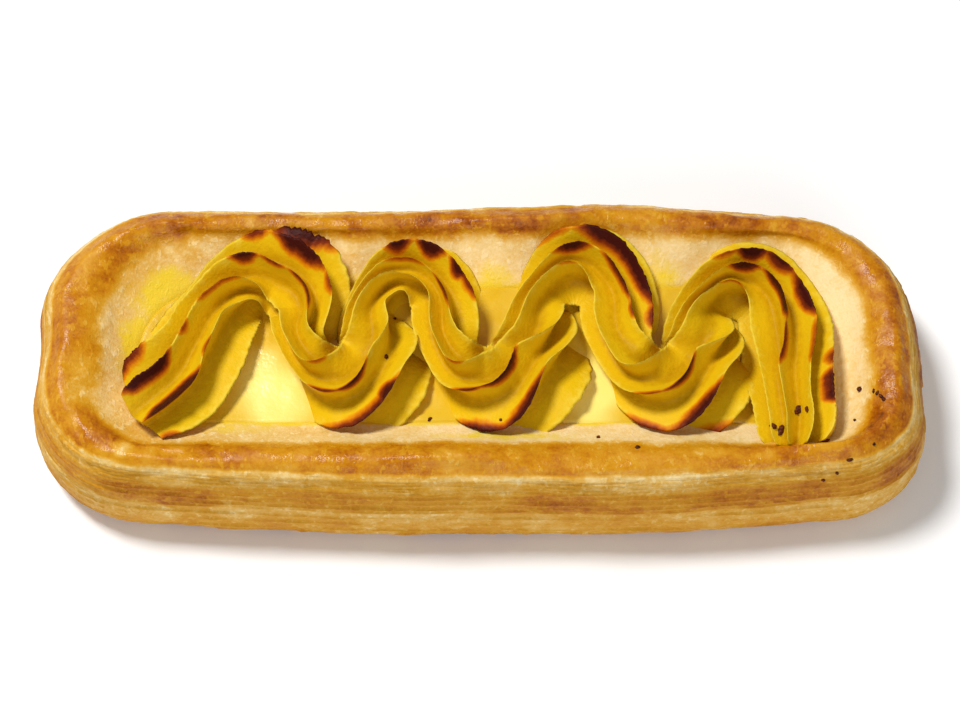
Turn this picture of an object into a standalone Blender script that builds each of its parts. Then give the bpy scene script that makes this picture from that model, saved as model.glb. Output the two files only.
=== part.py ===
"""A Danish pastry: a long laminated dough case with a raised rim, a shallow pool of baked custard
in it, and a rope of custard piped over the pool in a zigzag with a star nozzle.

X runs along the pastry, Y across it towards the back, Z up. It lies on its flat bottom."""
import math

import bmesh
import bpy

# Dough case: the widest outline, the flat bottom and the rim
LENGTH = 0.1506
WIDTH = 0.0575
RIM_HEIGHT = 0.0206
FLOOR_HEIGHT = 0.0095
POOL_LEVEL = 0.0145
FRONT_BOW = 0.0042
BACK_TRIM = 0.0011
BACK_SWELL = 0.0012
BACK_SWELL_AT = 0.021
BACK_SWELL_REACH = 0.016
BACK_FALL = 0.0009
BACK_FALL_FROM = 0.030
BACK_FALL_TO = 0.060
RIGHT_SLANT = 0.0018
OUTER_CORNERS = (0.0225, 0.0230, 0.0160, 0.0180)  # back left, back right, front right, front left

# Outside of the case from the bottom up: height, inset from the widest outline
OUTSIDE = (
    (0.0, 0.0030),
    (0.0016, 0.0009),
    (0.0050, 0.0),
    (0.0105, 0.0004),
    (0.0155, 0.0017),
    (0.0188, 0.0032),
    (0.0202, 0.0046),
)
CREST_INSET = 0.0062
SHOULDER_HEIGHT = 0.0201

# Cavity: its outline at the lip, then the way down: height, inset from the lip. The slope is
# gentler at the back, by the last factor.
LIP_LEFT = -0.0632
LIP_RIGHT = 0.0644
LIP_FRONT = -0.0188
LIP_BACK = 0.0198
LIP_CORNERS = (0.015, 0.015, 0.008, 0.010)
INSIDE = (
    (0.0188, 0.0),
    (0.0170, 0.0019),
    (0.0155, 0.0039),
    (POOL_LEVEL, 0.0057),
    (0.0125, 0.0066),
    (FLOOR_HEIGHT, 0.0078),
)
BACK_SLOPE = 1.35
LONG_STEPS = 22
SHORT_STEPS = 5
CORNER_STEPS = 7

# Unevenness of the hand-made case
SIDE_WAVE = 0.0003
RIM_WAVE = 0.0006

# Piped rope: half its height, the depth of its valleys as a share of that, and its climb up the back
ROPE_HALF_HEIGHT = 0.0082
ROPE_CENTRE_HEIGHT = 0.0150
VALLEY_REACH = 0.78
BACK_CLIMB = 0.0036
CLIMB_START = 0.0090
CLIMB_END = 0.0210
CUSP_RADIUS = 0.0009
STATIONS_PER_TURN = 11
STATIONS_PER_LEG = 4
SMOOTHING_PASSES = 2
END_TAPER = (0.72, 0.92)

# The zigzag's turns, humps and valleys by turns. The rope swings round a cusp at its inner side:
# cusp x and y, the reach to its outer side at a quarter, half and three quarters of the way round,
# and the roll of the ridges in degrees
TURNS = (
    (-0.0364, 0.0048, 0.0148, 0.0166, 0.0170, 0),
    (-0.0245, 0.0010, 0.0096, 0.0186, 0.0200, 0),
    (-0.0128, 0.0060, 0.0100, 0.0150, 0.0154, -4),
    (0.0006, 0.0007, 0.0108, 0.0186, 0.0208, 0),
    (0.0160, 0.0070, 0.0112, 0.0156, 0.0158, 2),
    (0.0300, 0.0007, 0.0110, 0.0184, 0.0200, 0),
    (0.0428, 0.0050, 0.0106, 0.0146, 0.0158, 3),
)

# Where the seven ridges stand round the section, in degrees from its top, left side negative, at
# shares of the way round a turn. The nozzle never turns, so the ridges roll as the rope bends.
HUMP = (
    (0.0, (-135, -98, -60, -18, 62, 98, 130)),
    (0.14, (-130, -94, -54, -16, 72, 105, 135)),
    (0.29, (-115, -78, -40, -5, 76, 108, 138)),
    (0.43, (-90, -55, -20, 13, 78, 108, 138)),
    (0.57, (-70, -36, -9, 21, 78, 108, 138)),
    (0.71, (-76, -43, -6, 30, 78, 108, 138)),
    (0.86, (-85, -50, -5, 37, 78, 108, 138)),
    (1.0, (-95, -58, -13, 35, 76, 108, 138)),
)
HOLLOW = (
    (0.0, (-95, -58, -13, 35, 76, 108, 138)),
    (0.14, (-105, -68, -28, 35, 76, 110, 140)),
    (0.29, (-120, -84, -48, 28, 70, 108, 138)),
    (0.43, (-135, -104, -72, 0, 42, 88, 122)),
    (0.57, (-145, -118, -88, -34, 0, 54, 95)),
    (0.71, (-150, -122, -94, -45, -14, 27, 64)),
    (0.86, (-146, -114, -84, -40, 0, 44, 84)),
    (1.0, (-135, -98, -60, -18, 62, 98, 130)),
)
FIRST_HUMP = (
    (0.0, (-128, -92, -52, -14, 25, 70, 110)),
    (0.25, (-112, -74, -34, 4, 46, 84, 120)),
    (0.45, (-88, -50, -12, 32, 76, 108, 138)),
    (0.6, (-74, -38, -2, 48, 82, 110, 138)),
    (0.8, (-80, -45, -8, 48, 80, 110, 138)),
    (1.0, (-95, -58, -13, 35, 76, 108, 138)),
)
LAST_HUMP = HUMP[:5] + (
    (0.71, (-70, -42, -6, 31, 78, 108, 138)),
    (0.86, (-62, -35, 3, 40, 80, 110, 140)),
    (1.0, (-55, -29, 7, 43, 80, 110, 140)),
)

# The straight legs before the first turn and after the last: left side x and y, right side x and y,
# and the ridges. The two lone points are the left side where these legs meet the turns.
FIRST_TURN_START = (-0.0490, 0.0115)
LAST_TURN_END = (0.0593, 0.0015)
FIRST_LEG = (
    (-0.0586, -0.0055, -0.0490, -0.0180, (-115, -98, -78, -34, 4, 42, 76)),
    (-0.0574, 0.0000, -0.0425, -0.0115, (-122, -100, -66, -22, 16, 62, 90)),
    (-0.0540, 0.0060, -0.0382, -0.0020, (-126, -96, -56, -18, 20, 66, 102)),
)
LAST_LEG = (
    (0.0606, -0.0020, 0.0438, -0.0025, (-52, -26, 8, 45, 80, 110, 140)),
    (0.0608, -0.0085, 0.0444, -0.0090, (-48, -22, 10, 46, 80, 110, 140)),
    (0.0596, -0.0140, 0.0460, -0.0148, (-44, -20, 10, 44, 78, 110, 140)),
    (0.0560, -0.0180, 0.0492, -0.0183, (-40, -16, 10, 40, 74, 110, 140)),
)

GAP = 0.0004


def clear_scene():
    for item in list(bpy.data.objects):
        bpy.data.objects.remove(item, do_unlink=True)


def new_collection(name):
    collection = bpy.data.collections.new(name)
    bpy.context.scene.collection.children.link(collection)
    return collection


def new_material(name, colour, roughness):
    material = bpy.data.materials.new(name)
    material.use_nodes = True
    shader = material.node_tree.nodes["Principled BSDF"]
    shader.inputs["Base Color"].default_value = (*colour, 1.0)
    shader.inputs["Roughness"].default_value = roughness
    shader.inputs["Metallic"].default_value = 0.0
    return material


def smoothstep(low, high, value):
    share = min(1.0, max(0.0, (value - low) / (high - low)))
    return share * share * (3.0 - 2.0 * share)


def loft(name, rings, collection, material):
    """Skin a list of equal closed rings with quads and close both ends."""
    mesh = bmesh.new()
    rows = [[mesh.verts.new(point) for point in ring] for ring in rings]
    count = len(rows[0])
    for lower, upper in zip(rows[:-1], rows[1:]):
        for i in range(count):
            j = (i + 1) % count
            mesh.faces.new((lower[i], lower[j], upper[j], upper[i]))
    mesh.faces.new(rows[0])
    mesh.faces.new(rows[-1])
    bmesh.ops.triangulate(mesh, faces=mesh.faces)
    bmesh.ops.recalc_face_normals(mesh, faces=mesh.faces)
    data = bpy.data.meshes.new(name)
    mesh.to_mesh(data)
    mesh.free()
    data.shade_smooth()
    data.set_sharp_from_angle(angle=math.radians(50))
    piece = bpy.data.objects.new(name, data)
    piece.data.materials.append(material)
    collection.objects.link(piece)
    return piece


def rounded_outline(left, right, front, back, corners):
    """A rectangle with four different round corners, clockwise from the back left corner."""
    back_left, back_right, front_right, front_left = corners
    arcs = (
        (left + back_left, back - back_left, back_left, 180),
        (right - back_right, back - back_right, back_right, 90),
        (right - front_right, front + front_right, front_right, 0),
        (left + front_left, front + front_left, front_left, -90),
    )
    straights = (LONG_STEPS, SHORT_STEPS, LONG_STEPS, SHORT_STEPS)
    ends = []
    points = []
    for x, y, radius, start in arcs:
        arc = []
        for i in range(CORNER_STEPS + 1):
            angle = math.radians(start - 90 * i / CORNER_STEPS)
            arc.append((x + radius * math.cos(angle), y + radius * math.sin(angle)))
        ends.append(arc)
    for i, arc in enumerate(ends):
        points.extend(arc)
        target = ends[(i + 1) % 4][0]
        for step in range(1, straights[i]):
            share = step / straights[i]
            x = arc[-1][0] + (target[0] - arc[-1][0]) * share
            y = arc[-1][1] + (target[1] - arc[-1][1]) * share
            points.append((x, y))
    return points


def side_wave(x, y):
    """Slow dents and swellings along the dough's sides."""
    along = math.atan2(y / WIDTH, x / LENGTH)
    return SIDE_WAVE * (math.sin(5 * along + 0.6) + 0.6 * math.sin(11 * along + 2.1))


def rim_wave(x, y):
    """The rim's rise and fall along the case."""
    front = 0.5 - 0.5 * math.tanh(y / 0.01)
    slow = math.sin(x / 0.0125 + 0.5 + 1.7 * front)
    quick = 0.45 * math.sin(x / 0.0052 + 2.4 * front)
    return RIM_WAVE * (slow + quick)


def back_trim(x):
    """How far the back edge stands inside the full width: a swelling, then a fall to the right."""
    swell = BACK_SWELL * math.exp(-(((x - BACK_SWELL_AT) / BACK_SWELL_REACH) ** 2))
    share = min(1.0, max(0.0, (x - BACK_FALL_FROM) / (BACK_FALL_TO - BACK_FALL_FROM)))
    return BACK_TRIM - swell + BACK_FALL * share * share * (3 - 2 * share)


def outer_ring(height, inset, wave=1.0, rise=0.0):
    radii = [radius - 0.8 * inset for radius in OUTER_CORNERS]
    half_length = LENGTH / 2 - inset
    half_width = WIDTH / 2 - inset
    ring = []
    for x, y in rounded_outline(-half_length, half_length, -half_width, half_width, radii):
        if y < 0:
            y += FRONT_BOW * (x / half_length) ** 2 * (-y / half_width)
        else:
            y -= back_trim(x) * (y / half_width)
        if x > 0:
            x -= RIGHT_SLANT * (x / half_length) ** 8 * (0.3 + 0.7 * y / half_width)
        push = 1.0 + wave * side_wave(x, y) / math.hypot(x, y)
        ring.append((x * push, y * push, height + rise * rim_wave(x, y)))
    return ring


def cavity_ring(height, inset, rise=0.0):
    radii = [max(0.003, radius - 0.4 * inset) for radius in LIP_CORNERS]
    outline = rounded_outline(
        LIP_LEFT + inset,
        LIP_RIGHT - inset,
        LIP_FRONT + inset,
        LIP_BACK - (inset * BACK_SLOPE if inset > 0 else inset),
        radii,
    )
    return [(x, y, height + rise * rim_wave(x, y)) for x, y in outline]


def crust_rings(gap=0.0, floor=FLOOR_HEIGHT):
    """The case from its bottom, over the rim and down into the cavity; a gap makes it fatter."""
    rings = []
    for height, inset in OUTSIDE:
        rings.append(outer_ring(height, inset - gap, wave=min(1.0, height / 0.004)))
    crest = outer_ring(RIM_HEIGHT + gap, CREST_INSET, rise=1.0)
    lip_height, lip_inset = INSIDE[0]
    lip = cavity_ring(lip_height + gap, lip_inset + gap, rise=0.4)
    shoulder = []
    for (crest_x, crest_y, _), (lip_x, lip_y, _) in zip(crest, lip):
        x = (crest_x + lip_x) / 2
        y = (crest_y + lip_y) / 2
        shoulder.append((x, y, SHOULDER_HEIGHT + gap + 0.8 * rim_wave(x, y)))
    rings += [crest, shoulder, lip]
    for height, inset in INSIDE[1:]:
        if height < floor:
            break
        rings.append(cavity_ring(height + gap, inset + gap))
    return rings


def pool_rings():
    rings = []
    levels = [row for row in INSIDE if row[0] <= POOL_LEVEL]
    for height, inset in reversed(levels):
        lift = GAP if height == FLOOR_HEIGHT else 0.0
        rings.append(cavity_ring(height + lift, inset + GAP))
    return rings


def eased(knots, place):
    """Read a smooth curve through knots of (place, values) without overshooting any of them."""
    i = 0
    while i < len(knots) - 2 and place > knots[i + 1][0]:
        i += 1
    start, low = knots[i]
    end, high = knots[i + 1]
    span = end - start
    t = min(1.0, max(0.0, (place - start) / span))
    values = []
    for j in range(len(low)):
        slope = (high[j] - low[j]) / span
        slope_in = slope
        slope_out = slope
        if i > 0:
            slope_in = blended_slope((low[j] - knots[i - 1][1][j]) / (start - knots[i - 1][0]), slope)
        if i < len(knots) - 2:
            slope_out = blended_slope((knots[i + 2][1][j] - high[j]) / (knots[i + 2][0] - end), slope)
        values.append(
            (2 * t**3 - 3 * t**2 + 1) * low[j]
            + (t**3 - 2 * t**2 + t) * span * slope_in
            + (3 * t**2 - 2 * t**3) * high[j]
            + (t**3 - t**2) * span * slope_out
        )
    return values


def blended_slope(first, second):
    """The harmonic mean of two slopes, or level where they disagree."""
    if first * second <= 0:
        return 0.0
    return 2 * first * second / (first + second)


def turn_sections(index):
    """Sections fanned round one turn's cusp: left point, right point and ridge angles in one list."""
    x, y, quarter, half, three_quarters, roll = TURNS[index]
    is_hump = index % 2 == 0
    ridges = HUMP if is_hump else HOLLOW
    entry = TURNS[index - 1][:2]
    leave = TURNS[(index + 1) % len(TURNS)][:2]
    if index == 0:
        ridges = FIRST_HUMP
        entry = FIRST_TURN_START
    if index == len(TURNS) - 1:
        ridges = LAST_HUMP
        leave = LAST_TURN_END
    start = math.atan2(entry[1] - y, entry[0] - x)
    sweep = (math.atan2(leave[1] - y, leave[0] - x) - start) % (2 * math.pi)
    if is_hump:
        sweep -= 2 * math.pi
    reaches = (
        (0.0, (math.dist(entry, (x, y)),)),
        (0.25, (quarter,)),
        (0.5, (half,)),
        (0.75, (three_quarters,)),
        (1.0, (math.dist(leave, (x, y)),)),
    )
    sections = []
    for i in range(STATIONS_PER_TURN):
        share = i / STATIONS_PER_TURN
        angle = start + sweep * share
        reach = eased(reaches, share)[0]
        outer = (x + reach * math.cos(angle), y + reach * math.sin(angle))
        inner = (x + CUSP_RADIUS * math.cos(angle), y + CUSP_RADIUS * math.sin(angle))
        crests = [crest + roll * math.sin(math.pi * share) for crest in eased(ridges, share)]
        sections.append([*outer, *inner, *crests] if is_hump else [*inner, *outer, *crests])
    return sections


def leg_sections(stops):
    """Sections eased from stop to stop, without the last stop itself."""
    knots = list(enumerate(stops))
    count = (len(stops) - 1) * STATIONS_PER_LEG
    return [eased(knots, i / STATIONS_PER_LEG) for i in range(count)]


def rope_rings():
    """Star sections along the whole zigzag, with a valley between each two ridges."""
    turns = []
    for index in range(len(TURNS)):
        turns.extend(turn_sections(index))
    first = [[*stop[:4], *stop[4]] for stop in FIRST_LEG]
    last = [[*stop[:4], *stop[4]] for stop in LAST_LEG]
    sections = leg_sections(first + [turns[0]]) + turns[:-1]
    sections += leg_sections([turns[-1]] + last) + [last[-1]]
    for _ in range(SMOOTHING_PASSES):
        middle = [
            [(a + 2 * b + c) / 4 for a, b, c in zip(before, here, after)]
            for before, here, after in zip(sections[:-2], sections[1:-1], sections[2:])
        ]
        sections = [sections[0]] + middle + [sections[-1]]
    rings = []
    for i, section in enumerate(sections):
        from_end = min(i, len(sections) - 1 - i)
        taper = END_TAPER[from_end] if from_end < len(END_TAPER) else 1.0
        rings.append(star_ring(section, taper))
    return rings


def star_ring(section, taper):
    left_x, left_y, right_x, right_y, *crests = section
    corners = []
    for i, crest in enumerate(crests):
        if i > 0:
            corners.append(((crests[i - 1] + crest) / 2, VALLEY_REACH))
        corners.append((crest, 1.0))
    underside = crests[0] + 360 - crests[-1]
    for i in range(1, 4):
        corners.append((crests[-1] + underside * i / 4, VALLEY_REACH))
    ring = []
    for angle, reach in corners:
        side = -math.sin(math.radians(angle)) * reach * taper
        x = (left_x + right_x) / 2 + (left_x - right_x) / 2 * side
        y = (left_y + right_y) / 2 + (left_y - right_y) / 2 * side
        climb = BACK_CLIMB * smoothstep(CLIMB_START, CLIMB_END, y)
        rise = ROPE_HALF_HEIGHT * math.cos(math.radians(angle)) * reach * taper
        ring.append((x, y, ROPE_CENTRE_HEIGHT + climb + rise))
    return ring


def seat_rings():
    """The case and the pool together, a gap larger: what the rope is cut to lie on."""
    return crust_rings(gap=GAP, floor=POOL_LEVEL)


def build():
    clear_scene()
    pastry = new_collection("danish_pastry")
    guides = new_collection("cutters")
    crust = new_material("baked_dough", (0.72, 0.42, 0.13), 0.45)
    custard = new_material("baked_custard", (0.85, 0.62, 0.12), 0.35)
    topping = new_material("piped_custard", (0.80, 0.50, 0.05), 0.4)
    loft("pastry_crust", crust_rings(), pastry, crust)
    loft("custard_pool", pool_rings(), pastry, custard)
    rope = loft("piped_custard", rope_rings(), pastry, topping)
    seat = loft("rope_seat", seat_rings(), guides, crust)
    seat.hide_render = True
    seat.display_type = "WIRE"
    cut = rope.modifiers.new("lie_on_pool", "BOOLEAN")
    cut.operation = "DIFFERENCE"
    cut.object = seat
    cut.solver = "EXACT"
    cut.use_self = True


build()
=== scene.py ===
"""A custard Danish, dressed over its CAD frame: dough case, custard pool, piped custard and crumbs."""
import math

import bpy
from mathutils import Matrix, Vector, noise


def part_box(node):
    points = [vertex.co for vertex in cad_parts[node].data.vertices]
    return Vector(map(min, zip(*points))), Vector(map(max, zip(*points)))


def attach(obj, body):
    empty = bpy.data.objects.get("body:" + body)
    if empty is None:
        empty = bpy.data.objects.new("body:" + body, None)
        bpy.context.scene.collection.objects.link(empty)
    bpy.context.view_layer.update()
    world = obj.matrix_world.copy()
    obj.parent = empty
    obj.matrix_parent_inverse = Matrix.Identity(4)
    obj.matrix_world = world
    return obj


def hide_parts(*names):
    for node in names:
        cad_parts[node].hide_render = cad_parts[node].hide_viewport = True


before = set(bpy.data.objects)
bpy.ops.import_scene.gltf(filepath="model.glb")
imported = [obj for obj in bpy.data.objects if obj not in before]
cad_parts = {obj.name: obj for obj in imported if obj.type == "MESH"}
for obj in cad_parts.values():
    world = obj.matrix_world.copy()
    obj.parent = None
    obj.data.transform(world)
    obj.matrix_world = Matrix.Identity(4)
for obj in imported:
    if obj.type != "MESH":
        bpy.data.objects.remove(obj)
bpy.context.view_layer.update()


# ---------------------------------------------------------------------------
# Table, lamps and camera.
# A plain white table top under a wide soft lamp behind and to the left, with
# a weaker one in front. The camera looks down at the pastry from its front.
case_low, case_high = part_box("pastry_crust")
mm = (case_high.x - case_low.x) / 150.560
middle = Vector(((case_low.x + case_high.x) / 2, (case_low.y + case_high.y) / 2, case_low.z))


def put_away(piece, colour, roughness):
    """Give a piece of the studio a simple finish of its own."""
    finish = bpy.data.materials.new(piece.name + "_finish")
    finish.use_nodes = True
    shader = finish.node_tree.nodes["Principled BSDF"]
    shader.inputs["Base Color"].default_value = (*colour, 1.0)
    shader.inputs["Roughness"].default_value = roughness
    piece.data.materials.append(finish)


bpy.ops.object.select_all(action="DESELECT")
bpy.ops.mesh.primitive_plane_add(size=2.4, location=(middle.x, middle.y, case_low.z))
table_top = bpy.context.object
table_top.name = "table_top"
bpy.ops.object.transform_apply(location=True, rotation=True, scale=True)
put_away(table_top, (0.97, 0.97, 0.97), 0.9)

for name, place, size, power in (
    ("key_lamp", (-0.30, 0.20, 0.72), 0.20, 5.6),
    ("front_lamp", (0.15, -0.62, 0.45), 0.50, 1.9),
):
    bpy.ops.object.light_add(type="AREA", location=place)
    lamp = bpy.context.object
    lamp.name = name
    lamp.data.shape = "DISK"
    lamp.data.size = size
    lamp.data.energy = power
    lamp.rotation_euler = (-Vector(place)).to_track_quat("-Z", "Y").to_euler()

studio = bpy.data.worlds.new("studio")
bpy.context.scene.world = studio
studio.use_nodes = True
studio.node_tree.nodes["Background"].inputs["Color"].default_value = (1.0, 1.0, 1.0, 1.0)
studio.node_tree.nodes["Background"].inputs["Strength"].default_value = 0.24

TILT = math.radians(64)
DISTANCE = 360 * mm
aim = Vector((0, 0, 12 * mm))
bpy.ops.object.camera_add(
    location=aim + DISTANCE * Vector((0, -math.cos(TILT), math.sin(TILT))),
    rotation=(math.pi / 2 - TILT, 0, 0),
)
camera = bpy.context.object
camera.name = "camera"
camera.data.lens = 79.65
camera.data.sensor_width = 36
camera.data.clip_start = 0.01
bpy.context.scene.camera = camera
bpy.context.scene.view_settings.view_transform = "Standard"
bpy.context.scene.view_settings.look = "None"


# ---------------------------------------------------------------------------
# Dough case.
# Laminated dough, folded up into a rim round the filling and egg-washed. The
# folds brown first, the thin layers at the cut sides part and stay pale.
CORNERS = (22.5, 23, 16, 18)  # back left, back right, front right, front left
OUTSIDE = (
    (0.0, 3.0),
    (1.6, 0.9),
    (5.0, 0.0),
    (10.5, 0.4),
    (15.5, 1.7),
    (18.8, 3.2),
    (20.2, 4.6),
)
CREST = (20.6, 6.2)
SHOULDER_HEIGHT = 20.1
LIP = (-63.2, 64.4, -18.8, 19.8)  # left, right, front, back
LIP_CORNERS = (15, 15, 8, 10)
INSIDE = (
    (18.8, 0.0),
    (17.0, 1.9),
    (15.5, 3.9),
    (14.5, 5.7),
    (12.5, 6.6),
)
BACK_SLOPE = 1.35
LONG_CELLS = 172
SHORT_CELLS = 32
CORNER_CELLS = 48
LAYERS = (1.3, 3.1, 5.2, 7.4, 9.4, 11.3, 12.3, 13.6, 14.9, 16.1, 16.9, 17.5, 18.1, 18.7, 19.3)


def smoothstep(low, high, value):
    share = min(1.0, max(0.0, (value - low) / (high - low)))
    return share * share * (3 - 2 * share)


def grain(x, y, z, size, seed=0.0):
    """Smooth noise from -1 to 1 with features of the given size in millimetres."""
    return noise.noise(Vector((x / size + seed * 7.31, y / size - seed * 3.17, z / size + seed * 1.93)))


def spot(x, y, at, size, seed=0.0):
    """How far inside an uneven patch of half sizes a point lies, from 0 to 1."""
    dx = (x - at[0]) / size[0]
    dy = (y - at[1]) / size[1]
    far = math.hypot(dx, dy) + 0.35 * grain(x, y, 0, min(size) * 0.8, seed)
    return 1 - smoothstep(0.25, 1.2, far)


def rounded_outline(left, right, front, back, corners):
    """A rectangle with four different round corners, clockwise from the back left corner."""
    back_left, back_right, front_right, front_left = corners
    arcs = (
        (left + back_left, back - back_left, back_left, 180),
        (right - back_right, back - back_right, back_right, 90),
        (right - front_right, front + front_right, front_right, 0),
        (left + front_left, front + front_left, front_left, -90),
    )
    cells = (LONG_CELLS, SHORT_CELLS, LONG_CELLS, SHORT_CELLS)
    ends = []
    for x, y, radius, start in arcs:
        angles = [math.radians(start - 90 * i / CORNER_CELLS) for i in range(CORNER_CELLS + 1)]
        ends.append([Vector((x + radius * math.cos(a), y + radius * math.sin(a))) for a in angles])
    points = []
    for i, arc in enumerate(ends):
        points.extend(arc)
        target = ends[(i + 1) % 4][0]
        points.extend(arc[-1].lerp(target, step / cells[i]) for step in range(1, cells[i]))
    return points


def side_wave(x, y):
    along = math.atan2(y / 57.5, x / 150)
    return 0.3 * (math.sin(5 * along + 0.6) + 0.6 * math.sin(11 * along + 2.1))


def rim_wave(x, y):
    front = 0.5 - 0.5 * math.tanh(y / 10)
    return 0.6 * (math.sin(x / 12.5 + 0.5 + 1.7 * front) + 0.45 * math.sin(x / 5.2 + 2.4 * front))


def outer_ring(height, inset, wave=1.0, rise=0.0):
    half_length = 75.3 - inset
    half_width = 28.75 - inset
    radii = [radius - 0.8 * inset for radius in CORNERS]
    ring = []
    for x, y in rounded_outline(-half_length, half_length, -half_width, half_width, radii):
        if y < 0:
            y += 4.2 * (x / half_length) ** 2 * (-y / half_width)
        else:
            trim = 1.1 - 1.2 * math.exp(-(((x - 21) / 16) ** 2)) + 0.9 * smoothstep(30, 60, x)
            y -= trim * (y / half_width)
        if x > 0:
            x -= 1.8 * (x / half_length) ** 8 * (0.3 + 0.7 * y / half_width)
        push = 1 + wave * side_wave(x, y) / math.hypot(x, y)
        ring.append(Vector((x * push, y * push, height + rise * rim_wave(x, y))))
    return ring


def cavity_ring(height, inset, rise=0.0):
    left, right, front, back = LIP
    radii = [max(3.0, radius - 0.4 * inset) for radius in LIP_CORNERS]
    back -= inset * BACK_SLOPE if inset > 0 else inset
    outline = rounded_outline(left + inset, right - inset, front + inset, back, radii)
    return [Vector((x, y, height + rise * rim_wave(x, y))) for x, y in outline]


def through(points, place):
    """A smooth curve through evenly counted points, read at a place such as 3.4."""
    i = min(len(points) - 2, max(0, int(place)))
    t = place - i
    a = points[max(0, i - 1)]
    b = points[i]
    c = points[i + 1]
    d = points[min(len(points) - 1, i + 2)]
    return b + t * (0.5 * (c - a) + t * (a - 2.5 * b + 2 * c - 0.5 * d + t * (1.5 * (b - c) + 0.5 * (d - a))))


case_rings = [outer_ring(height, inset, wave=min(1.0, height / 4)) for height, inset in OUTSIDE]
crest_ring = outer_ring(*CREST, rise=1.0)
lip_ring = cavity_ring(*INSIDE[0], rise=0.4)
shoulder_ring = []
for over, under in zip(crest_ring, lip_ring):
    x, y, _ = (over + under) / 2
    shoulder_ring.append(Vector((x, y, SHOULDER_HEIGHT + 0.8 * rim_wave(x, y))))
case_rings += [crest_ring, shoulder_ring, lip_ring]
for height, inset in INSIDE[1:]:
    case_rings.append(cavity_ring(height, inset))

# Places of the rows up the profile, close together on the flaky side and wider on the slope inside
CASE_ROWS = [0.25 * i for i in range(5)]
CASE_ROWS += [1.0 + 0.1 * i for i in range(1, 11)]
CASE_ROWS += [2.0 + i / 18 for i in range(1, 19)]
CASE_ROWS += [3.0 + i / 18 for i in range(1, 19)]
CASE_ROWS += [4.0 + i / 14 for i in range(1, 15)]
CASE_ROWS += [5.0 + i / 8 for i in range(1, 9)]
CASE_ROWS += [6.0 + i / 5 for i in range(1, 6)]
CASE_ROWS += [7.0 + i / 6 for i in range(1, 7)]
CASE_ROWS += [8.0 + i / 4 for i in range(1, 21)]

around = len(case_rings[0])
bpy.ops.object.select_all(action="DESELECT")
bpy.ops.mesh.primitive_grid_add(x_subdivisions=around, y_subdivisions=len(CASE_ROWS) - 1, size=1)
dough_case = bpy.context.object
dough_case.name = "dough_case"


def layer_relief(x, y, z):
    """How far the cut layers stand out or part, and how close the nearest parting is."""
    lift = z + 0.55 * grain(x, y, 0, 26, 1) + 0.22 * grain(x, y, 0, 7, 2)
    number = sum(1 for edge in LAYERS if edge < lift)
    below = LAYERS[number - 1] if number > 0 else 0.0
    above = LAYERS[number] if number < len(LAYERS) else 21.0
    near = min(lift - below, above - lift)
    edge = below if lift - below < above - lift else above
    parting = 0.5 + 0.5 * grain(x, y, edge * 5, 9, 3)
    out = 0.30 * grain(x, y, number * 9, 14, 4) + 0.12 * grain(x, y, number * 9, 4, 5)
    depth = 0.42 * parting * math.exp(-((near / 0.20) ** 2))
    return out - depth, parting * math.exp(-((near / 0.16) ** 2))


BAKED_PATCHES = (
    ((-36, 24.0), (5.0, 1.8), 0.18),
    ((-8, 22.0), (10, 2.4), 0.16),
    ((6, 21.5), (6.5, 2.6), 0.12),
    ((-50, 19.0), (6.0, 4.5), 0.08),
    ((-60, 13.0), (5.5, 5.0), 0.14),
    ((42, 22.0), (11, 2.2), 0.16),
    ((68, -14), (6.0, 9.0), 0.14),
    ((70, 8.0), (3.0, 14), 0.12),
    ((-70, 0.0), (4.5, 20), 0.08),
    ((-58, -17), (6.0, 4.0), 0.16),
)
PALE_PATCHES = (
    ((-66, -10), (3.0, 4.0), 0.20),
    ((-64, 4.0), (3.0, 5.0), 0.12),
    ((37, -20.5), (4.0, 2.0), 0.18),
    ((56, -19.5), (3.5, 2.0), 0.18),
    ((60, 10.0), (6.0, 14), 0.10),
    ((-58, -20), (2.0, 2.0), 0.30),
)


def baked(x, y, z, past_lip, parting):
    """How brown the dough is at a place, from 0, pale cream, to 1, dark brown, with painted shade added in the
    partings between layers.
    """
    patchy = 0.15 * grain(x, y, z, 9, 11) + 0.12 * grain(x, y, z, 3.4, 12) + 0.08 * grain(x, y, z, 1.4, 13)
    edge = past_lip + 1.1 * grain(x, y, z, 6, 14) + 0.5 * grain(x, y, z, 2, 15)
    cream = 0.08 + 0.12 * smoothstep(10, -50, x) + 0.5 * patchy
    rim = 0.65 + 0.06 * smoothstep(30, 62, x) + patchy
    value = cream + (rim - cream) * smoothstep(-1.6, 1.4, edge)
    for at, size, amount in BAKED_PATCHES:
        value += amount * spot(x, y, at, size, 16)
    for at, size, amount in PALE_PATCHES:
        value -= amount * spot(x, y, at, size, 17)
    if past_lip > 3:
        level = z + 1.5 * grain(x, y, 0, 22, 18) + 0.5 * grain(x, y, 0, 6, 19)
        fibres = grain(x * 0.35, y * 0.35, z * 2.2, 1.0, 20)
        side = 0.35 + 0.05 * fibres + 1.1 * patchy + 0.08 * grain(x, y, z * 2, 16, 25)
        middle_band = smoothstep(10.6, 12.3, level) * (1 - smoothstep(15.2, 16.9, level))
        side += (0.26 + 0.16 * grain(x, y, 0, 14, 24)) * middle_band
        side += 0.12 * smoothstep(11.0, 5.0, level)
        side += 0.40 * smoothstep(1.8, 0.7, z)
        side -= 0.10 * smoothstep(18.2, 18.9, level)
        value += (side - value) * smoothstep(19.75, 19.2, z + 0.25 * grain(x, y, z, 3, 21))
        # Painted shade: darker where the layers part into grooves on the sides.
        value += 0.16 * parting * smoothstep(19, 18, z)
    return value


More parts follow.
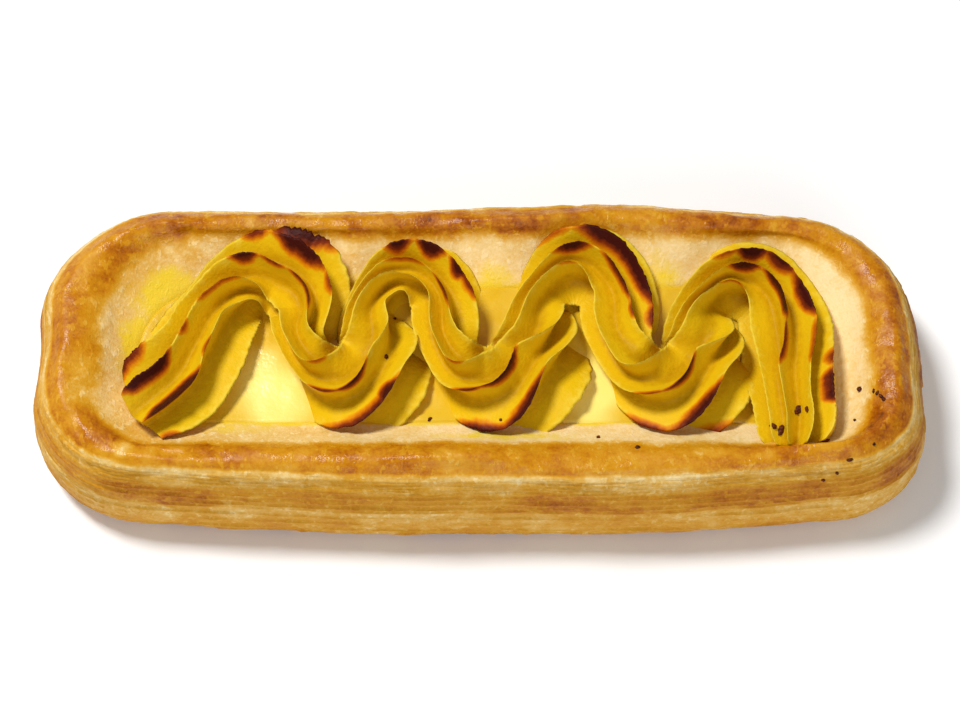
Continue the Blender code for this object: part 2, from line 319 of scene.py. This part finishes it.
FILM_PATCHES = (
    ((-52.0, 9.0), (9.5, 8.0), 1.2),
    ((-57.5, 0.0), (4.0, 9.0), 1.1),
    ((-23.0, 11.0), (5.0, 5.5), 0.75),
    ((2.0, 11.5), (5.0, 5.5), 0.75),
    ((31.0, 12.0), (5.5, 6.0), 0.75),
    ((-40.0, -14.5), (9.0, 2.0), 0.5),
    ((4.0, -16.5), (14, 1.6), 0.75),
)


def filmed(x, y, z, past_lip):
    """How much custard has crept up the slope at a place."""
    if past_lip > 0.5:
        return 0.0
    amount = smoothstep(15.3, 14.6, z + 0.3 * grain(x, y, 0, 4, 22))
    for at, size, share in FILM_PATCHES:
        amount = max(amount, share * spot(x, y, at, size, 23))
    return amount


points = [None] * len(dough_case.data.vertices)
browning_and_shade_amount = []
wash_amount = []
film_amount = []
for column in range(around + 1):
    profile = [ring[column % around] for ring in case_rings]
    places = [through(profile, row) for row in CASE_ROWS]
    lip = through(profile, 9.0)
    along = [0.0]
    for lower, upper in zip(places[:-1], places[1:]):
        along.append(along[-1] + (upper - lower).length)
    lip_at = along[min(range(len(CASE_ROWS)), key=lambda i: abs(CASE_ROWS[i] - 9.0))]
    for row, place in enumerate(places):
        before = places[max(0, row - 1)]
        after = places[min(len(places) - 1, row + 1)]
        across = through([r[(column + 1) % around] for r in case_rings], CASE_ROWS[row])
        across = across - through([r[(column - 1) % around] for r in case_rings], CASE_ROWS[row])
        facing = across.cross(after - before).normalized()
        x, y, z = place
        past_lip = lip_at - along[row]
        relief, parting = 0.0, 0.0
        if past_lip > 3 and z > 0.8:
            relief, parting = layer_relief(x, y, z)
            fade = smoothstep(20.2, 18.8, z) * smoothstep(0.8, 2.2, z)
            relief *= fade
            parting *= fade
        top = smoothstep(-7, 0, past_lip) * smoothstep(12, 6, past_lip)
        relief += top * (0.16 * grain(x, y, z, 3.4, 6) + 0.10 * grain(x, y, z, 1.5, 7))
        blister = max(0.0, grain(x, y, z, 2.6, 8) - 0.28)
        relief += top * 0.75 * blister * smoothstep(10, -40, x)
        relief += 0.06 * grain(x, y, z, 0.9, 9)
        relief = min(relief, 0.25)
        points[row * (around + 1) + column] = place + facing * relief
        browning_and_shade_amount.append((row * (around + 1) + column, baked(x, y, z, past_lip, parting) - 0.25 * blister * top))
        wash = smoothstep(-4, 1, past_lip) * smoothstep(9, 6, past_lip)
        wash_amount.append((row * (around + 1) + column, wash))
        film_amount.append((row * (around + 1) + column, filmed(x, y, z, past_lip)))

for vertex, point in zip(dough_case.data.vertices, points):
    vertex.co = point * mm

for name, amounts in (("baked", browning_and_shade_amount), ("egg_wash", wash_amount), ("custard_film", film_amount)):
    layer = dough_case.data.attributes.new(name, "FLOAT", "POINT")
    for index, amount in amounts:
        layer.data[index].value = min(1.0, max(0.0, amount))


def close_up(piece, fill=True):
    """Merge a wrapped grid's seam, close its open ends and turn its faces outwards."""
    bpy.ops.object.select_all(action="DESELECT")
    piece.select_set(True)
    bpy.context.view_layer.objects.active = piece
    bpy.ops.object.mode_set(mode="EDIT")
    bpy.ops.mesh.select_all(action="SELECT")
    bpy.ops.mesh.remove_doubles(threshold=0.00001 * mm)
    if fill:
        bpy.ops.mesh.select_all(action="DESELECT")
        bpy.ops.mesh.select_mode(type="EDGE")
        bpy.ops.mesh.select_non_manifold()
        bpy.ops.mesh.fill(use_beauty=True)
    bpy.ops.mesh.select_all(action="SELECT")
    bpy.ops.mesh.normals_make_consistent(inside=False)
    bpy.ops.mesh.select_mode(type="VERT")
    bpy.ops.object.mode_set(mode="OBJECT")
    bpy.ops.object.shade_smooth()


close_up(dough_case)


class Wire:
    """An output socket of a material. Sums on wires add the Math nodes that work them out."""

    def __init__(self, tree, socket=None):
        self.tree = tree
        self.socket = socket

    def node(self, kind, settings=None, sockets=None, output=0):
        """Add any other node: its settings first, then the values or links of its sockets."""
        made = self.tree.nodes.new(kind)
        for name, value in (settings or {}).items():
            if name == "stops":
                elements = made.color_ramp.elements
                while len(elements) < len(value):
                    elements.new(1.0)
                for element, (place, colour) in zip(elements, value):
                    element.position = place
                    element.color = (*colour, 1.0)
            else:
                setattr(made, name, value)
        for name, value in (sockets or {}).items():
            if isinstance(value, Wire):
                self.tree.links.new(value.socket, made.inputs[name])
            else:
                made.inputs[name].default_value = value
        return Wire(self.tree, made.outputs[output])

    def math(self, operation, first, second):
        return self.node("ShaderNodeMath", {"operation": operation}, {0: first, 1: second})

    def __add__(self, other):
        return self.math("ADD", self, other)

    def __radd__(self, other):
        return self.math("ADD", other, self)

    def __sub__(self, other):
        return self.math("SUBTRACT", self, other)

    def __rsub__(self, other):
        return self.math("SUBTRACT", other, self)

    def __mul__(self, other):
        return self.math("MULTIPLY", self, other)

    def __rmul__(self, other):
        return self.math("MULTIPLY", other, self)


def new_finish(name):
    """A new material: a wire on its tree to start from, and its Principled shader."""
    finish = bpy.data.materials.new(name)
    finish.use_nodes = True
    return finish, Wire(finish.node_tree), finish.node_tree.nodes["Principled BSDF"]


def speckle(start, size, detail=2.0, stretch=(1, 1, 1)):
    """Noise from 0 to 1 whose features measure the given millimetres."""
    place = start.node("ShaderNodeTexCoord", output="Object")
    sized = start.node(
        "ShaderNodeVectorMath",
        {"operation": "MULTIPLY"},
        {0: place, 1: tuple(factor / (size * mm) for factor in stretch)},
    )
    return start.node("ShaderNodeTexNoise", None, {"Vector": sized, "Scale": 1.0, "Detail": detail})


def between(wire, low, high):
    """0 below low, 1 above high, and smooth between them."""
    return wire.node(
        "ShaderNodeMapRange",
        {"interpolation_type": "SMOOTHSTEP"},
        {"Value": wire, "From Min": low, "From Max": high},
    )


def stored(start, name):
    """A value stored on the mesh."""
    return start.node("ShaderNodeAttribute", {"attribute_name": name}, None, "Fac")


def plug(shader, socket, wire):
    shader.id_data.links.new(wire.socket, shader.inputs[socket])


CRUST_COLOURS = (
    (0.00, (0.90, 0.69, 0.34)),
    (0.15, (0.83, 0.58, 0.21)),
    (0.30, (0.74, 0.43, 0.085)),
    (0.45, (0.66, 0.32, 0.016)),
    (0.60, (0.60, 0.25, 0.005)),
    (0.75, (0.48, 0.155, 0.002)),
    (0.88, (0.33, 0.078, 0.002)),
    (1.00, (0.12, 0.026, 0.003)),
)
CUSTARD_FILM = (0.84, 0.61, 0.030)
crust, start, shader = new_finish("baked_dough")
fine = speckle(start, 0.55, 3.0)
coarse = speckle(start, 1.8, 2.0)
fibres = speckle(start, 0.45, 2.0, (0.12, 0.12, 1.6))
# Painted highlight: small pale specks stand in for glints on the egg wash. The same specks are also raised a little
# in the bump.
painted_glint_specks = between(speckle(start, 1.1, 2.0, (1.0, 0.6, 1.0)), 0.58, 0.66)
# The browning stored on the mesh also carries painted shade in the layer partings.
brown = stored(start, "baked") + 0.34 * (fine - 0.5) + 0.22 * (coarse - 0.5) + 0.09 * (fibres - 0.5)
brown = brown - 0.13 * painted_glint_specks
dough = start.node("ShaderNodeValToRGB", {"stops": CRUST_COLOURS}, {0: brown})
film = between(stored(start, "custard_film") + 0.7 * (coarse - 0.5) + 0.4 * (fine - 0.5), 0.1, 1.0)
plug(shader, "Base Color", start.node("ShaderNodeMix", {"data_type": "RGBA"}, {
    "Factor": film,
    6: dough,
    7: (*CUSTARD_FILM, 1.0),
}, 2))
wash = stored(start, "egg_wash") * between(speckle(start, 5.0, 1.0), 0.35, 0.6)
plug(shader, "Roughness", 0.54 - 0.32 * wash + 0.2 * (fine - 0.5))
bump = start.node(
    "ShaderNodeBump",
    None,
    {"Height": speckle(start, 0.35, 3.0) + speckle(start, 1.1, 2.0) + 0.5 * painted_glint_specks, "Strength": 0.4, "Distance": 0.0002},
)
plug(shader, "Normal", bump)
shader.inputs["Specular IOR Level"].default_value = 0.22
dough_case.data.materials.append(crust)
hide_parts("pastry_crust")
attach(dough_case, "root")


# ---------------------------------------------------------------------------
# Custard pool.
# Vanilla custard spread thinly over the floor of the case and baked to a
# smooth, slightly sunken skin that creeps up the slope of the dough.
POOL_ROWS = 44
PALE_WINDOWS = (((-34.5, -8.5), (8.5, 10.0)), ((18.5, -8.5), (5.5, 9.0)), ((-46.0, 6.0), (3.0, 3.0)))
POOL_LEVEL = 14.5
pool_edge = cavity_ring(POOL_LEVEL, 5.3)
bpy.ops.object.select_all(action="DESELECT")
bpy.ops.mesh.primitive_grid_add(x_subdivisions=around, y_subdivisions=POOL_ROWS, size=1)
pool = bpy.context.object
pool.name = "baked_custard"
tint = pool.data.attributes.new("tint", "FLOAT", "POINT")
for row in range(POOL_ROWS + 1):
    inward = row / POOL_ROWS
    for column in range(around + 1):
        edge = pool_edge[column % around]
        spine = Vector((round(min(44.0, max(-44.0, edge.x))), 0.0, edge.z))
        x, y, _ = edge.lerp(spine, inward)
        z = POOL_LEVEL + 0.22 * grain(x, y, 0, 9, 31) + 0.10 * grain(x, y, 0, 3, 32)
        z += 0.15 * smoothstep(0.22, 0.0, inward) - 0.45 * smoothstep(0.05, 0.0, inward)
        index = row * (around + 1) + column
        pool.data.vertices[index].co = Vector((x, y, z)) * mm
        pale = max(spot(x, y, at, size, 33) for at, size in PALE_WINDOWS)
        tint.data[index].value = 0.95 - pale + 0.12 * grain(x, y, 0, 5, 34)
close_up(pool, fill=False)
custard, start, shader = new_finish("baked_custard")
shade = stored(start, "tint") + 0.25 * (speckle(start, 2.5) - 0.5)
plug(shader, "Base Color", start.node("ShaderNodeMix", {"data_type": "RGBA"}, {
    "Factor": shade,
    6: (0.96, 0.81, 0.20, 1.0),
    7: (0.74, 0.46, 0.010, 1.0),
}, 2))
plug(shader, "Roughness", 0.24 + 0.14 * (speckle(start, 1.5) - 0.5))
bump = start.node("ShaderNodeBump", None, {"Height": speckle(start, 0.8), "Strength": 0.25, "Distance": 0.0002})
plug(shader, "Normal", bump)
shader.inputs["Specular IOR Level"].default_value = 0.35
pool.data.materials.append(custard)
bpy.ops.object.modifier_add(type="SOLIDIFY")
pool.modifiers[-1].thickness = 1.2 * mm
pool.modifiers[-1].offset = -1
bpy.ops.object.modifier_apply(modifier=pool.modifiers[-1].name)
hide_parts("custard_pool")
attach(pool, "root")


# ---------------------------------------------------------------------------
# Piped custard.
# One rope of stiff custard, piped over the pool in a zigzag with an open star
# nozzle and browned under the grill. Its ridges stand up as thin fins.
# The zigzag's turns, humps and hollows by turns. The rope swings round a cusp at its inner side:
# cusp x and y, and the reach to its outer side at a quarter, half and three quarters of the way
TURNS = (
    (-36.4, 4.8, 14.8, 16.6, 17.0),
    (-24.5, 1.0, 9.6, 18.6, 20.0),
    (-12.8, 6.0, 10.0, 15.0, 15.4),
    (0.6, 0.7, 10.8, 18.6, 20.8),
    (16.0, 7.0, 11.2, 15.6, 15.8),
    (30.0, 0.7, 11.0, 18.4, 20.0),
    (42.8, 5.0, 10.6, 14.6, 15.8),
)
# Straight legs before the first turn and after the last: left side x and y, right side x and y
FIRST_TURN_START = (-49.0, 11.5)
LAST_TURN_END = (59.3, 1.5)
FIRST_LEG = (
    (-60.0, -4.8, -49.4, -18.6),
    (-57.8, 0.2, -42.5, -11.7),
    (-54.0, 6.0, -38.2, -2.0),
)
LAST_LEG = (
    (60.8, -2.0, 43.8, -2.5),
    (61.2, -8.5, 44.0, -9.0),
    (61.0, -13.4, 44.2, -14.8),
    (59.8, -16.8, 44.8, -18.4),
)
# Where the seven ridges stand round the section, in degrees from its top, left side negative. The
# nozzle never turns, so the ridges roll from side to side as the rope bends. Places count in turns.
RIDGES = (
    (-1.09, (-123, -102, -81, -26, 27, 63, 84)),
    (-0.75, (-122, -98, -51, -11, 30, 76, 97)),
    (-0.50, (-125, -92, -34, -13, 19, 73, 98)),
    (-0.25, (-126, -82, -40, -17, 18, 74, 105)),
    (0.00, (-123, -75, -40, -6, 38, 82, 111)),
    (0.25, (-103, -65, -16, 26, 56, 94, 123)),
    (0.50, (-75, -35, 6, 55, 77, 113, 137)),
    (0.75, (-74, -32, 3, 56, 77, 121, 142)),
    (1.00, (-93, -47, -13, 36, 62, 124, 145)),
    (1.25, (-117, -74, -37, 29, 53, 123, 148)),
    (1.50, (-141, -109, -74, -31, 24, 75, 118)),
    (1.75, (-148, -114, -85, -64, -11, 32, 80)),
    (2.00, (-139, -87, -55, -34, 25, 82, 123)),
    (2.25, (-126, -61, -28, -7, 41, 101, 135)),
    (2.50, (-96, -26, 3, 24, 48, 103, 134)),
    (2.75, (-95, -31, 8, 29, 69, 105, 135)),
    (3.00, (-107, -65, -8, 25, 64, 107, 138)),
    (3.25, (-122, -96, -36, 26, 65, 105, 135)),
    (3.50, (-143, -122, -72, -35, 14, 76, 112)),
    (3.75, (-153, -132, -76, -52, -23, 16, 72)),
    (4.00, (-143, -122, -40, -17, 42, 72, 118)),
    (4.25, (-121, -100, -20, 1, 77, 98, 137)),
    (4.50, (-79, -39, -7, 20, 82, 106, 140)),
    (4.75, (-78, -39, -2, 41, 81, 108, 139)),
    (5.00, (-96, -59, -18, 41, 78, 105, 136)),
    (5.25, (-117, -72, -46, 38, 71, 99, 129)),
    (5.50, (-140, -102, -78, -40, 22, 76, 108)),
    (5.75, (-148, -113, -87, -66, -17, 25, 74)),
    (6.00, (-137, -85, -49, -28, 57, 78, 126)),
    (6.25, (-120, -52, -11, 10, 87, 108, 141)),
    (6.50, (-90, -19, 2, 26, 91, 112, 141)),
    (6.75, (-80, -30, 1, 47, 91, 112, 141)),
    (7.00, (-67, -31, 7, 57, 91, 112, 139)),
    (7.25, (-49, -21, 15, 52, 92, 113, 136)),
    (7.50, (-39, -11, 25, 47, 80, 110, 134)),
    (7.75, (-38, -8, 23, 44, 68, 110, 148)),
    (8.25, (-43, -13, 19, 40, 61, 110, 152)),
)
ROPE_HALF_HEIGHT = 8.2
ROPE_CENTRE_HEIGHT = 15.0
FINE_STATIONS = 9
GAP_CELLS = 12
UNDER_CELLS = 18


def blended_slope(first, second):
    return 0.0 if first * second <= 0 else 2 * first * second / (first + second)


def eased(knots, place):
    """Read a smooth curve through knots of (place, values) without overshooting any of them."""
    i = 0
    while i < len(knots) - 2 and place > knots[i + 1][0]:
        i += 1
    start_at, low = knots[i]
    end_at, high = knots[i + 1]
    span = end_at - start_at
    t = min(1.0, max(0.0, (place - start_at) / span))
    values = []
    for j in range(len(low)):
        slope = (high[j] - low[j]) / span
        slope_in = slope
        slope_out = slope
        if i > 0:
            slope_in = blended_slope((low[j] - knots[i - 1][1][j]) / (start_at - knots[i - 1][0]), slope)
        if i < len(knots) - 2:
            slope_out = blended_slope((knots[i + 2][1][j] - high[j]) / (knots[i + 2][0] - end_at), slope)
        values.append(
            (2 * t**3 - 3 * t**2 + 1) * low[j]
            + (t**3 - 2 * t**2 + t) * span * slope_in
            + (3 * t**2 - 2 * t**3) * high[j]
            + (t**3 - t**2) * span * slope_out
        )
    return values


def turn_sections(index):
    """The rope's left and right sides, fanned round one turn's cusp."""
    x, y, quarter, half, three_quarters = TURNS[index]
    is_hump = index % 2 == 0
    entry = FIRST_TURN_START if index == 0 else TURNS[index - 1][:2]
    leave = LAST_TURN_END if index == len(TURNS) - 1 else TURNS[index + 1][:2]
    begin = math.atan2(entry[1] - y, entry[0] - x)
    sweep = (math.atan2(leave[1] - y, leave[0] - x) - begin) % (2 * math.pi)
    if is_hump:
        sweep -= 2 * math.pi
    reaches = (
        (0.0, (math.dist(entry, (x, y)),)),
        (0.25, (quarter,)),
        (0.5, (half,)),
        (0.75, (three_quarters,)),
        (1.0, (math.dist(leave, (x, y)),)),
    )
    sections = []
    for i in range(11):
        share = i / 11
        angle = begin + sweep * share
        reach = eased(reaches, share)[0]
        outer = (x + reach * math.cos(angle), y + reach * math.sin(angle))
        inner = (x + 0.9 * math.cos(angle), y + 0.9 * math.sin(angle))
        sections.append([*outer, *inner] if is_hump else [*inner, *outer])
    return sections


def leg_sections(stops):
    knots = list(enumerate(stops))
    return [eased(knots, i / 4) for i in range((len(stops) - 1) * 4)]


def rope_sections():
    turned = []
    for index in range(len(TURNS)):
        turned.extend(turn_sections(index))
    sections = leg_sections([*FIRST_LEG, turned[0]]) + turned[:-1]
    sections += leg_sections([turned[-1], *LAST_LEG]) + [list(LAST_LEG[-1])]
    for _ in range(2):
        middle_ones = [
            [(a + 2 * b + c) / 4 for a, b, c in zip(before, here, after)]
            for before, here, after in zip(sections[:-2], sections[1:-1], sections[2:])
        ]
        sections = [sections[0]] + middle_ones + [sections[-1]]
    return sections


# Grill marks: ridge, from and to along the rope in turns, and how dark
SCORCHES = (
    (2, -1.10, -0.68, 0.62),
    (3, -1.10, -0.64, 1.00),
    (3, -0.56, -0.39, 0.45),
    (3, -0.27, 0.20, 0.42),
    (4, -1.10, -0.62, 1.00),
    (4, -0.61, -0.41, 0.38),
    (5, -1.10, -0.98, 0.45),
    (1, 0.26, 0.39, 0.60),
    (1, 0.37, 0.73, 0.97),
    (1, 0.69, 0.85, 0.50),
    (2, 0.15, 0.35, 0.85),
    (2, 0.30, 0.58, 0.55),
    (2, 0.52, 0.98, 0.64),
    (0, 0.34, 0.66, 0.90),
    (3, 1.32, 1.46, 0.38),
    (4, 1.37, 1.52, 0.60),
    (4, 1.47, 1.70, 0.82),
    (5, 1.42, 1.76, 0.70),
    (5, 1.62, 1.71, 0.95),
    (1, 2.40, 2.54, 0.82),
    (1, 2.55, 2.69, 1.00),
    (1, 2.71, 2.81, 0.90),
    (1, 2.77, 2.90, 0.60),
    (2, 2.33, 2.69, 0.42),
    (2, 2.68, 3.00, 0.64),
    (3, 3.26, 3.37, 0.38),
    (4, 3.36, 3.49, 0.64),
    (4, 3.43, 3.78, 0.86),
    (5, 3.40, 3.57, 0.78),
    (5, 3.50, 3.75, 0.92),
    (1, 4.33, 4.49, 0.40),
    (1, 4.46, 4.96, 0.97),
    (1, 4.90, 5.04, 0.60),
    (2, 4.34, 4.60, 0.86),
    (2, 4.60, 4.98, 0.74),
    (2, 4.93, 5.06, 0.50),
    (3, 4.30, 4.54, 0.34),
    (4, 5.38, 5.52, 0.45),
    (4, 5.46, 5.76, 0.80),
    (5, 5.38, 5.54, 0.55),
    (5, 5.50, 5.74, 0.94),
    (6, 5.55, 5.69, 0.58),
    (1, 6.37, 6.55, 0.40),
    (1, 6.50, 6.68, 0.97),
    (1, 6.62, 6.82, 0.76),
    (1, 6.75, 7.08, 0.92),
    (1, 7.02, 7.52, 0.40),
    (2, 6.43, 6.70, 0.90),
    (2, 6.65, 7.10, 0.94),
    (2, 7.04, 7.50, 0.60),
    (3, 6.28, 6.67, 0.38),
    (0, 7.26, 7.49, 0.52),
    (0, 7.45, 7.94, 0.76),
)


def scorched_at(ridge, at):
    """How dark the grill has made a ridge at a place along the rope."""
    darkest = 0.0
    for which, from_at, to_at, dark in SCORCHES:
        if which == ridge and from_at - 0.03 < at < to_at + 0.03:
            fade = min(0.14, 0.45 * (to_at - from_at))
            ends = smoothstep(from_at - 0.03, from_at + fade, at) * smoothstep(to_at + 0.03, to_at - fade, at)
            darkest = max(darkest, dark * ends)
    return darkest


# Fins that stand out further than the rest: ridge, from and to in turns, and by what share
TALL_FINS = (
    (0, 0.25, 0.80, 0.13),
    (1, 0.20, 0.75, 0.03),
    (6, 1.40, 1.95, 0.06),
    (6, 3.40, 3.95, 0.08),
    (6, 5.35, 5.95, 0.06),
    (5, -0.30, 0.45, 0.05),
)


def tall_at(ridge, at):
    extra = 0.0
    for which, from_at, to_at, share in TALL_FINS:
        if which == ridge and from_at < at < to_at:
            fade = 0.3 * (to_at - from_at)
            extra = share * smoothstep(from_at, from_at + fade, at) * smoothstep(to_at, to_at - fade, at)
    return extra


def rope_ring(values, at, taper, lean):
    """One section: its points, how near each is to a crest, and how scorched it is."""
    left = Vector(values[0:2])
    right = Vector(values[2:4])
    crests = eased(RIDGES, at)
    ring = []
    wide = list(crests) + [crests[0] + 360]
    for i in range(7):
        cells = GAP_CELLS if i < 6 else UNDER_CELLS
        gap = wide[i + 1] - wide[i]
        for j in range(cells):
            t = 0.5 - 0.5 * math.cos(math.pi * j / cells)
            angle = wide[i] + gap * t
            nearest = min(t, 1 - t) * 2
            crest = i if t < 0.5 else i + 1
            if crest == 7:
                crest = 0
            depth = 0.52 * smoothstep(3, 36, gap) * (1 - 0.35 * smoothstep(60, 110, gap))
            fin = 0.62 * (1 - nearest) ** 4 + 0.38 * (1 - nearest) ** 1.6
            scorch = scorched_at(crest, at)
            tall = tall_at(crest, at)
            ragged = 0.022 * noise.noise(Vector((at * 27, crest * 9.1, 0.3)))
            rough = 0.010 + 0.026 * scorch + 0.4 * tall
            ragged += rough * noise.noise(Vector((at * 75, crest * 9.1, 5.3)))
            ragged += 0.5 * rough * noise.noise(Vector((at * 190, crest * 9.1, 7.9)))
            reach = 1 - depth + (depth + ragged + tall) * fin
            side = -math.sin(math.radians(angle)) * reach * taper
            centre = (left + right) / 2 + (left - right) / 2 * side
            centre += lean * max(0.0, math.cos(math.radians(angle)))
            climb = 3.6 * smoothstep(9, 21, centre.y)
            rise = ROPE_HALF_HEIGHT * math.cos(math.radians(angle)) * reach * taper
            z = max(12.6, ROPE_CENTRE_HEIGHT + climb + rise)
            turned = nearest * gap / 2
            mark = math.exp(-((turned / (1.4 + 3.6 * scorch * scorch)) ** 2)) + 0.07 * math.exp(-((turned / 9) ** 2))
            ring.append((centre.x, centre.y, z, fin, scorch * mark, crest))
    return ring


sections = [Vector(values) for values in rope_sections()]
stations = []
for i in range((len(sections) - 1) * FINE_STATIONS + 1):
    place = i / FINE_STATIONS
    from_end = min(place, len(sections) - 1 - place)
    taper = 0.80 + 0.20 * math.sin(min(1.0, from_end / 2.2) * math.pi / 2)
    at = (place - 12) / 11
    lean = Vector((-2.4, -1.9)) * smoothstep(5, 0, place)
    lean += Vector((-0.6, -1.8)) * smoothstep(4, 0, len(sections) - 1 - place)
    stations.append(rope_ring(through(sections, place), at, taper, lean))

ring_cells = len(stations[0])
bpy.ops.object.select_all(action="DESELECT")
bpy.ops.mesh.primitive_grid_add(x_subdivisions=ring_cells, y_subdivisions=len(stations) - 1, size=1)
rope = bpy.context.object
rope.name = "piped_custard_rope"
crest_layer = rope.data.attributes.new("crest", "FLOAT", "POINT")
scorch_layer = rope.data.attributes.new("scorch", "FLOAT", "POINT")
for row, ring in enumerate(stations):
    for column in range(ring_cells + 1):
        x, y, z, fin, scorch, _ = ring[column % ring_cells]
        index = row * (ring_cells + 1) + column
        rope.data.vertices[index].co = Vector((x, y, z)) * mm
        crest_layer.data[index].value = fin
        scorch_layer.data[index].value = scorch
close_up(rope)

# The rope's yellow, and the painted shade of its valleys: a darker yellow-brown painted where the surface sinks
# between the fins.
ROPE_YELLOW = (0.75, 0.47, 0.005)
ROPE_PAINTED_VALLEY_SHADE = (0.50, 0.26, 0.001)
# Painted highlight: a paler yellow painted along the tips of the crests.
ROPE_PAINTED_CREST_HIGHLIGHT = (0.82, 0.60, 0.05)
SCORCH_COLOURS = (
    (0.00, (0.78, 0.46, 0.004)),
    (0.22, (0.74, 0.29, 0.002)),
    (0.42, (0.52, 0.12, 0.002)),
    (0.64, (0.22, 0.030, 0.004)),
    (1.00, (0.055, 0.007, 0.004)),
)
piped, start, shader = new_finish("piped_custard")
crest = stored(start, "crest")
mottle = speckle(start, 1.2, 3.0)
# Painted shade: the valleys between the fins are mixed towards the darker colour, the crests towards the yellow.
with_valley_shade = start.node("ShaderNodeMix", {"data_type": "RGBA"}, {
    "Factor": between(crest + 0.35 * (mottle - 0.5), -0.15, 0.42),
    6: (*ROPE_PAINTED_VALLEY_SHADE, 1.0),
    7: (*ROPE_YELLOW, 1.0),
}, 2)
# Painted highlight: a pale line along the crest tips, where the fins catch the light.
with_crest_highlight = start.node("ShaderNodeMix", {"data_type": "RGBA"}, {
    "Factor": between(crest + 0.9 * (mottle - 0.5), 0.65, 1.2),
    6: with_valley_shade,
    7: (*ROPE_PAINTED_CREST_HIGHLIGHT, 1.0),
}, 2)
burn = stored(start, "scorch") * (0.95 + 0.6 * speckle(start, 0.8, 3.0))
scorched = start.node("ShaderNodeValToRGB", {"stops": SCORCH_COLOURS}, {0: burn})
plug(shader, "Base Color", start.node("ShaderNodeMix", {"data_type": "RGBA"}, {
    "Factor": between(burn, 0.10, 0.24),
    6: with_crest_highlight,
    7: scorched,
}, 2))
plug(shader, "Roughness", 0.42 + 0.2 * (mottle - 0.5))
bump = start.node(
    "ShaderNodeBump",
    None,
    {"Height": speckle(start, 0.5, 3.0) + speckle(start, 1.6, 2.0), "Strength": 0.45, "Distance": 0.00022},
)
plug(shader, "Normal", bump)
shader.inputs["Specular IOR Level"].default_value = 0.06
rope.data.materials.append(piped)
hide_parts("piped_custard")
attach(rope, "root")


# ---------------------------------------------------------------------------
# Charred crumbs.
# Specks of burnt custard and flour from the oven tray, baked on where they
# fell. Each is a small flattened lump, pressed a little into what it lies on.
CRUMBS = (
    ((62.9, -8.4), (0.55, 0.42)),
    ((64.7, -9.6), (0.42, 0.24)),
    ((65.2, -10.2), (0.26, 0.46)),
    ((65.7, -11.0), (0.28, 0.50)),
    ((66.0, -11.7), (0.46, 0.34)),
    ((59.8, -22.0), (0.55, 0.30)),
    ((57.9, -23.6), (0.30, 0.26)),
    ((55.8, -24.3), (0.34, 0.28)),
    ((63.8, -19.6), (0.28, 0.24)),
    ((61.6, -14.0), (0.26, 0.22)),
    ((52.3, -12.9), (0.95, 0.70)),
    ((53.3, -13.8), (0.55, 0.42)),
    ((51.6, -13.6), (0.50, 0.38)),
    ((48.9, -17.0), (0.95, 0.55)),
    ((47.6, -16.6), (0.60, 0.48)),
    ((56.0, -18.6), (0.95, 0.46)),
    ((19.4, -16.9), (0.36, 0.30)),
    ((25.6, -19.8), (0.42, 0.34)),
    ((-14.4, 5.7), (0.32, 0.26)),
    ((-15.6, -3.2), (0.36, 0.40)),
    ((-8.3, -12.6), (0.46, 0.26)),
    ((3.4, -14.2), (0.28, 0.24)),
)


def lying_on(x, y):
    """The height of the topmost surface under a place."""
    above = Vector((x, y, 60)) * mm
    heights = []
    for piece in (dough_case, pool, rope):
        hit, place, _, _ = piece.ray_cast(above, Vector((0, 0, -1)))
        if hit:
            heights.append(place.z)
    return max(heights)


bpy.context.view_layer.update()
lumps = []
for number, ((x, y), (long_half, short_half)) in enumerate(CRUMBS):
    ground = lying_on(x, y)
    bpy.ops.object.select_all(action="DESELECT")
    bpy.ops.mesh.primitive_ico_sphere_add(subdivisions=3, radius=1)
    lump = bpy.context.object
    for vertex in lump.data.vertices:
        lumpy = 1 + 0.4 * noise.noise(vertex.co * 1.6 + Vector((number * 5.1, 0, 0)))
        turn = Matrix.Rotation(number * 1.3, 3, "Z")
        shaped = vertex.co * lumpy
        shaped = turn @ Vector((shaped.x * long_half, shaped.y * short_half, shaped.z * 0.24))
        vertex.co = (Vector((x, y, 0.06)) + shaped) * mm + Vector((0, 0, ground))
    bpy.ops.object.shade_smooth()
    lumps.append(lump)
bpy.ops.object.select_all(action="DESELECT")
for lump in lumps:
    lump.select_set(True)
crumbs = lumps[0]
bpy.context.view_layer.objects.active = crumbs
bpy.ops.object.join()
crumbs.name = "charred_crumbs"
crumbs.data.name = "charred_crumbs"
char, start, shader = new_finish("char")
plug(shader, "Base Color", start.node("ShaderNodeMix", {"data_type": "RGBA"}, {
    "Factor": between(speckle(start, 0.35, 3.0), 0.35, 0.7),
    6: (0.030, 0.006, 0.003, 1.0),
    7: (0.16, 0.030, 0.004, 1.0),
}, 2))
plug(shader, "Roughness", 0.5 + 0.3 * (speckle(start, 0.5) - 0.5))
bump = start.node("ShaderNodeBump", None, {"Height": speckle(start, 0.2, 3.0), "Strength": 0.6, "Distance": 0.0001})
plug(shader, "Normal", bump)
shader.inputs["Specular IOR Level"].default_value = 0.12
crumbs.data.materials.append(char)
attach(crumbs, "root")
